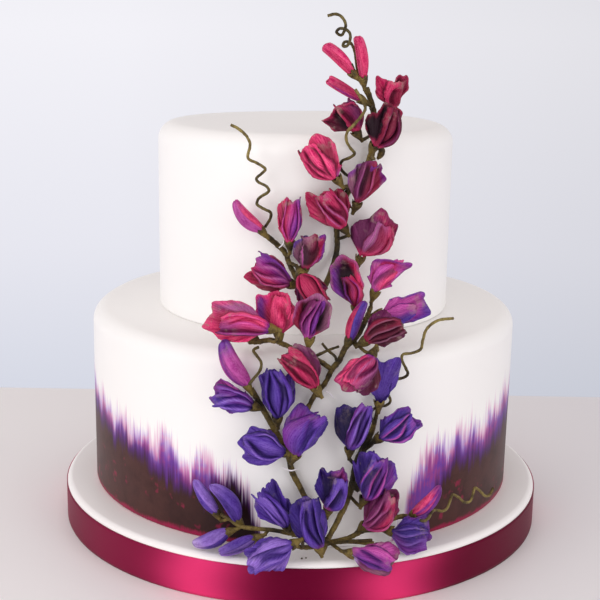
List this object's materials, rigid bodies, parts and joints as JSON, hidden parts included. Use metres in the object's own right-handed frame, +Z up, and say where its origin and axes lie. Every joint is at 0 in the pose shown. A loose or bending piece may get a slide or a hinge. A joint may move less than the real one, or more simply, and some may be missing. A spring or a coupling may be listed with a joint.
{
  "type": "tiered wedding cake",
  "caption": "Round tiered cake in smooth white icing on a ribboned board, with a trailing spray of wired sugar flowers and curled tendrils down its front.",
  "frame": {"origin": "centre of the flat underside of the cake board", "axes": "+Z up, the flower spray faces -Y, +X to the right as seen from the spray's side"},
  "size_m": [0.3064, 0.3197, 0.3178],
  "materials": {
    "icing": "smooth satin white fondant icing, brushed with food colour round the foot",
    "board_icing": "smooth satin white fondant icing",
    "satin_ribbon": "glossy satin ribbon",
    "petals_pink": "dusted sugar petals, hot pink",
    "petals_magenta": "dusted sugar petals, magenta with near-black crimson folds",
    "petals_plum": "dusted sugar petals, purple and magenta",
    "petals_violet": "dusted sugar petals, violet with indigo folds",
    "stem_tape": "crinkled olive florist's tape",
    "tendril_tape": "fine khaki florist's tape"
  },
  "bodies": {
    "root": {"cake_board": "board_icing", "board_ribbon": "satin_ribbon", "lower_tier": "icing", "upper_tier": "icing", "bloom_01": "petals_magenta", "bloom_02": "petals_magenta", "bloom_03": "petals_magenta", "bloom_04": "petals_magenta", "bloom_05": "petals_magenta", "bloom_06": "petals_magenta", "bloom_07": "petals_magenta", "bloom_08": "petals_magenta", "bloom_09": "petals_magenta", "bloom_10": "petals_magenta", "bloom_11": "petals_plum", "bloom_12": "petals_magenta", "bloom_13": "petals_magenta", "bloom_14": "petals_magenta", "bloom_15": "petals_magenta", "bloom_16": "petals_magenta", "bloom_17": "petals_plum", "bloom_18": "petals_magenta", "bloom_19": "petals_magenta", "bloom_20": "petals_magenta", "bloom_21": "petals_violet", "bloom_22": "petals_violet", "bloom_23": "petals_violet", "bloom_24": "petals_violet", "bloom_25": "petals_violet", "bloom_26": "petals_violet", "bloom_27": "petals_violet", "bloom_28": "petals_plum", "bloom_29": "petals_plum", "bloom_30": "petals_plum", "bloom_31": "petals_plum", "bloom_32": "petals_plum", "bloom_33": "petals_violet", "bloom_34": "petals_violet", "bloom_35": "petals_violet", "bud_01": "petals_pink", "bud_02": "petals_pink", "bud_03": "petals_pink", "bud_04": "petals_pink", "bud_05": "petals_pink", "bud_06": "petals_plum", "bud_07": "petals_pink", "bud_08": "petals_violet", "bud_09": "petals_violet", "bud_10": "petals_violet", "bud_11": "petals_violet", "wires_upper": "stem_tape", "wires_middle": "stem_tape", "wires_lower": "stem_tape", "tendril_1": "tendril_tape", "tendril_2": "tendril_tape", "tendril_3": "tendril_tape", "tendril_4": "tendril_tape", "tendril_5": "tendril_tape", "tendril_6": "tendril_tape"}
  },
  "joints": []
}
